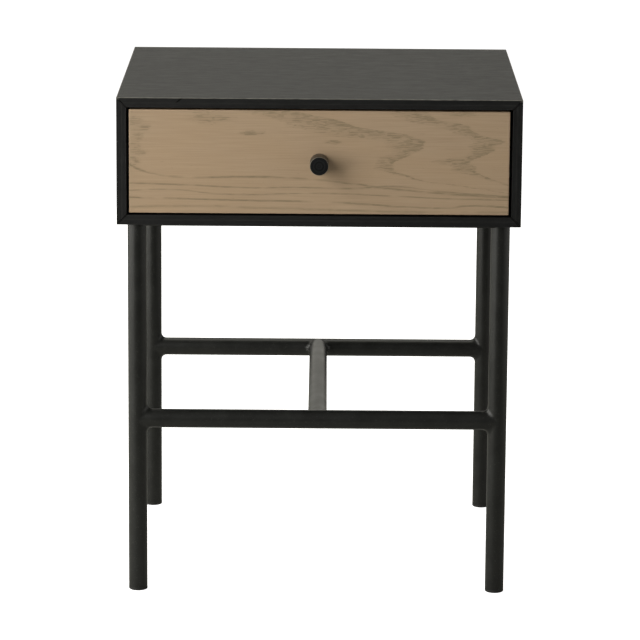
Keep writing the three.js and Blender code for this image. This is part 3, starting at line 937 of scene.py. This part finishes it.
def make_knob(material):
    """A turned knob. Only its front chamfer is marked, and the material paints it light as a
    painted highlight round the rim.
    """
    low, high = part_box("drawer_knob")
    middle = (low + high) / 2
    radius = (high.x - low.x) / 2
    back_end = Vector((middle.x, high.y, middle.z))
    front_end = Vector((middle.x, low.y, middle.z))
    knob = rod("drawer_knob_turned", back_end, front_end, radius, KNOB_SIDES)
    soften_edges(knob, lambda a, b: max(a.y, b.y) < middle.y, KNOB_CHAMFER, segments=5)
    soften_edges(knob, lambda a, b: min(a.y, b.y) > middle.y, KNOB_CHAMFER / 2)
    edit(knob)
    pick_faces(knob, lambda place, normal: normal.y < -0.999)
    for _ in range(2):
        bpy.ops.mesh.inset(thickness=radius * KNOB_FACE_RING)
    end_edit()

    mark = knob.data.attributes.new("edge", "FLOAT", "POINT")
    for vertex in knob.data.vertices:
        share = (vertex.co.y - low.y) / KNOB_CHAMFER
        if 0.02 < share < 0.98:
            mark.data[vertex.index].value = 1.0
    finish_piece(knob, material, "drawer", "black_knob", "drawer_knob")


def make_drawer(oak, wood_x, wood_y, plywood, knob):
    plain_board("drawer_front", oak, "drawer", "light_oak", FRONT_ARRIS)
    make_knob(knob)
    for name, wood in (
            ("drawer_box_front", wood_x), ("drawer_back", wood_x),
            ("drawer_left_side", wood_y), ("drawer_right_side", wood_y)):
        softened_copy(name, BOX_ARRIS, wood, "drawer", "drawer_wood")
    softened_copy("drawer_bottom", BOTTOM_ARRIS, plywood, "drawer", "drawer_plywood")


def coat_nodes(zinc, black):
    """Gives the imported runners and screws, which keep their shape, their materials."""
    for name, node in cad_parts.items():
        if "screw" in name or "rail" in name or "cage" in name:
            node.data.materials.clear()
            node.data.materials.append(zinc if "screw" in name else black)


# ---------------------------------------------------------------- light and camera

def soft_box(name, place, aim, width, height, power, tint):
    """A soft rectangular light, which the camera doesn't see."""
    lamp = bpy.data.lights.new(name, "AREA")
    lamp.shape = "RECTANGLE"
    lamp.size = width
    lamp.size_y = height
    lamp.energy = power
    lamp.color = tint
    holder = bpy.data.objects.new(name, lamp)
    bpy.context.scene.collection.objects.link(holder)
    direction = Vector(aim) - Vector(place)
    holder.location = place
    holder.rotation_euler = direction.to_track_quat("-Z", "Y").to_euler()
    holder.visible_camera = False


def studio_floor():
    """A plain white floor. What it throws back on the table is kept low, as a dark table needs."""
    deselect_all()
    bpy.ops.mesh.primitive_plane_add(size=30, location=(0, 0, FLOOR_LEVEL))
    floor = settle("studio_floor")
    paint = Finish("studio floor paint")
    seen = paint.node("ShaderNodeLightPath").outputs["Is Camera Ray"]
    pale = paint.ramp(
        paint.pattern(even(2), detail=2),
        (0.3, colour(0.86, 0.86, 0.86)),
        (0.7, colour(0.88, 0.88, 0.88)))
    towards_back = paint.split(paint.place)[1]
    thrown = paint.ramp(
        paint.spread(towards_back, -2.0, -0.4),
        (0.0, colour(0.06, 0.06, 0.055)),
        (1.0, colour(0.42, 0.42, 0.39)))
    paint.surface(paint.blend(seen, thrown, pale), 1.0, specular=0.0)
    paint.shader.inputs["Emission Color"].default_value = colour(1, 1, 1)
    paint.feed(paint.shader.inputs["Emission Strength"], seen)
    floor.data.materials.append(paint.material)


def studio_air():
    """A white background that lights the table only a little."""
    world = bpy.data.worlds.new("studio")
    bpy.context.scene.world = world
    world.use_nodes = True
    tree = world.node_tree
    seen = tree.nodes.new("ShaderNodeLightPath").outputs["Is Camera Ray"]
    strength = tree.nodes.new("ShaderNodeMapRange")
    strength.inputs["To Min"].default_value = AIR_LIGHT
    strength.inputs["To Max"].default_value = AIR_SEEN
    back = tree.nodes["Background"]
    back.inputs["Color"].default_value = colour(1, 0.99, 0.95)
    tree.links.new(seen, strength.inputs["Value"])
    tree.links.new(strength.outputs[0], back.inputs["Strength"])


def make_studio():
    studio_floor()
    studio_air()
    warm = (1.0, 0.99, 0.93)
    warmest = (1.0, 0.975, 0.86)
    neutral = (1.0, 0.995, 0.99)
    soft_box("left_wall_box", (-1.6, -0.5, 0.95), (0, -0.1, 0.4), 3.0, 1.8, 60, warm)
    soft_box("left_key_box", (-1.4, -1.8, 1.1), (0, 0, 0.5), 1.6, 1.4, 5.5, neutral)
    soft_box("overhead_box", (-0.3, 1.0, 2.3), (0, 0.1, 0), 1.8, 1.6, 13, warmest)
    soft_box("back_wall_box", (-0.35, 2.2, 0.675), (-0.35, 0, 0.675), 3.0, 1.35, 7.1, warmest)
    soft_box("right_wall_box", (1.7, -0.1, 0.7), (0, 0, 0.35), 3.0, 1.6, 9.5, warm)


def make_camera():
    """The camera stands before the case and above it, and looks a little down."""
    case_low, case_high = case_corners()
    camera = bpy.data.cameras.new("camera")
    camera.sensor_width = CAMERA_SENSOR
    camera.lens = CAMERA_LENS
    holder = bpy.data.objects.new("camera", camera)
    bpy.context.scene.collection.objects.link(holder)
    yaw, pitch, roll = CAMERA_TURNS
    turn = (Matrix.Rotation(-yaw, 3, "Z")
            @ Matrix.Rotation(math.pi / 2 - pitch, 3, "X")
            @ Matrix.Rotation(roll, 3, "Z"))
    across, forward, above = CAMERA_FROM_CASE
    place = Vector((across, case_low.y - forward, case_high.z + above))
    holder.matrix_world = Matrix.Translation(place) @ turn.to_4x4()
    bpy.context.scene.camera = holder
    bpy.context.scene.view_settings.view_transform = "Standard"


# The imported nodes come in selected
deselect_all()
make_case(black_oak("X"), black_oak("Z"))
make_base(satin_steel(), cap_plastic())
make_drawer(
    front_oak(), box_wood("X"), box_wood("Y"), box_wood("X", "drawer plywood"), knob_black())
coat_nodes(zinc_plate(), rail_black())
make_studio()
make_camera()
